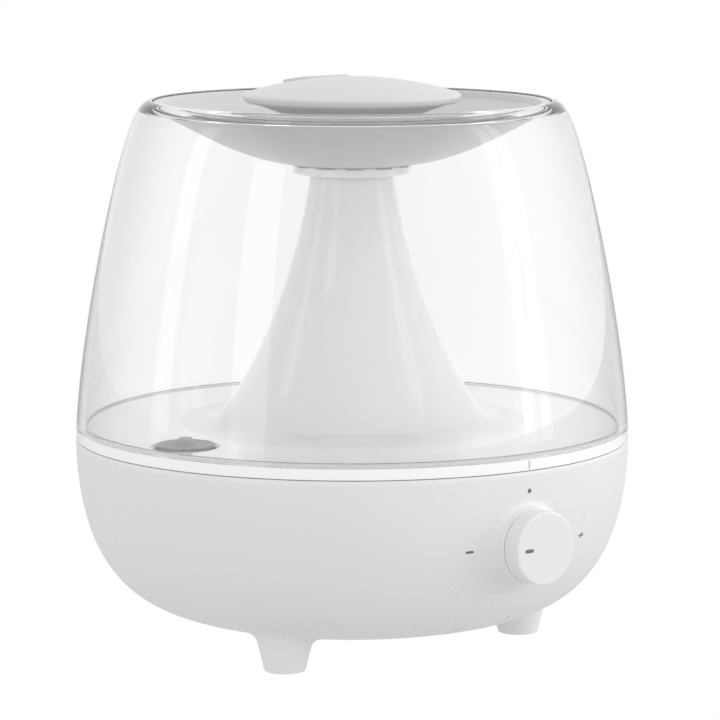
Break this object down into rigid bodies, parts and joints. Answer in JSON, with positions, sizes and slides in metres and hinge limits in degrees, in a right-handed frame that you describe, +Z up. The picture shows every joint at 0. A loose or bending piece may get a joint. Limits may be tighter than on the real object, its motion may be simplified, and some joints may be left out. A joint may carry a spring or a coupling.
{
  "type": "cool mist humidifier",
  "caption": "Round top-fill cool mist humidifier: clear tapered tank with a white trumpet chimney, dished lid and domed nozzle, on a white base with a dial.",
  "frame": {"origin": "centre of the footprint, knob included, on the surface that the three feet stand on; the vessel axis is 5.4 mm behind it", "axes": "+Z up along the vessel axis, -Y towards the side with the control knob, +X to the right as seen from the front"},
  "size_m": [0.2412, 0.252, 0.2465],
  "materials": {
    "satin_white": "satin",
    "gloss_white": "gloss",
    "clear_plastic": "clear",
    "inner_grey": "satin",
    "soft_rubber": "matte",
    "dark_rubber": "matte",
    "steel": "satin",
    "brass": "satin",
    "black_plastic": "satin",
    "circuit_board": "satin",
    "aluminium": "satin",
    "print_grey": "matte"
  },
  "bodies": {
    "base": {"base_shell": "satin_white", "foot_pad_1": "dark_rubber", "foot_pad_2": "dark_rubber", "foot_pad_3": "dark_rubber", "bottom_cover": "satin_white", "cover_screw_1": "steel", "cover_screw_2": "steel", "cover_screw_3": "steel", "water_basin": "gloss_white", "mist_well": "gloss_white", "air_riser": "gloss_white", "basin_pillar_1": "gloss_white", "basin_pillar_2": "gloss_white", "basin_pillar_3": "gloss_white", "float_clip": "gloss_white", "transducer_gasket": "soft_rubber", "transducer_disc": "brass", "transducer_clamp": "inner_grey", "clamp_screw_1": "steel", "clamp_screw_2": "steel", "clamp_screw_3": "steel", "fan_frame": "black_plastic", "fan_motor": "steel", "fan_screw_1": "steel", "fan_screw_2": "steel", "fan_screw_3": "steel", "fan_screw_4": "steel", "air_duct": "inner_grey", "driver_board": "circuit_board", "board_screw_1": "steel", "board_screw_2": "steel", "heat_sink": "aluminium", "drive_coil": "inner_grey", "smoothing_capacitor": "black_plastic", "dc_socket": "black_plastic", "potentiometer": "aluminium", "shaft_nut": "steel"},
    "knob": {"control_knob": "satin_white", "knob_pointer": "print_grey", "knob_shaft": "aluminium"},
    "fan_rotor": {"fan_impeller": "black_plastic"},
    "float": {"level_float": "inner_grey"},
    "tank": {"tank_shell": "clear_plastic", "tank_floor": "gloss_white", "tank_chimney": "gloss_white", "tank_seal": "soft_rubber"},
    "valve": {"valve_disc": "soft_rubber", "valve_stem": "inner_grey", "valve_retainer": "inner_grey", "valve_spring": "steel"},
    "lid": {"lid_dish": "satin_white", "mist_tube": "satin_white", "strainer_ring": "satin_white"},
    "nozzle": {"nozzle_dome": "satin_white", "nozzle_base": "satin_white"}
  },
  "joints": [
    {"name": "knob_turn", "type": "hinge", "parent": "base", "child": "knob", "pos_m": [0, -0.1218, 0.0592], "axis": [0, 1, 0], "range_deg": [0, 180]},
    {"name": "fan_spin", "type": "hinge", "parent": "base", "child": "fan_rotor", "pos_m": [0, 0.0434, 0.026], "axis": [0, 0, 1], "continuous": true},
    {"name": "float_rise", "type": "slide", "parent": "base", "child": "float", "axis": [0, 0, 1], "range_m": [0, 0.0055]},
    {"name": "tank_lift", "type": "slide", "parent": "base", "child": "tank", "axis": [0, 0, 1], "range_m": [0, 0.06]},
    {"name": "valve_travel", "type": "slide", "parent": "tank", "child": "valve", "axis": [0, 0, 1], "range_m": [-0.0024, 0], "deforming": ["valve_spring"]},
    {"name": "lid_lift", "type": "slide", "parent": "tank", "child": "lid", "axis": [0, 0, 1], "range_m": [0, 0.05]},
    {"name": "nozzle_turn", "type": "hinge", "parent": "lid", "child": "nozzle", "pos_m": [0, 0.0054, 0.235], "axis": [0, 0, 1], "continuous": true}
  ],
  "couplings": [
    {"joint": "valve_travel", "follows": "tank_lift", "ratio": -0.038333}
  ]
}
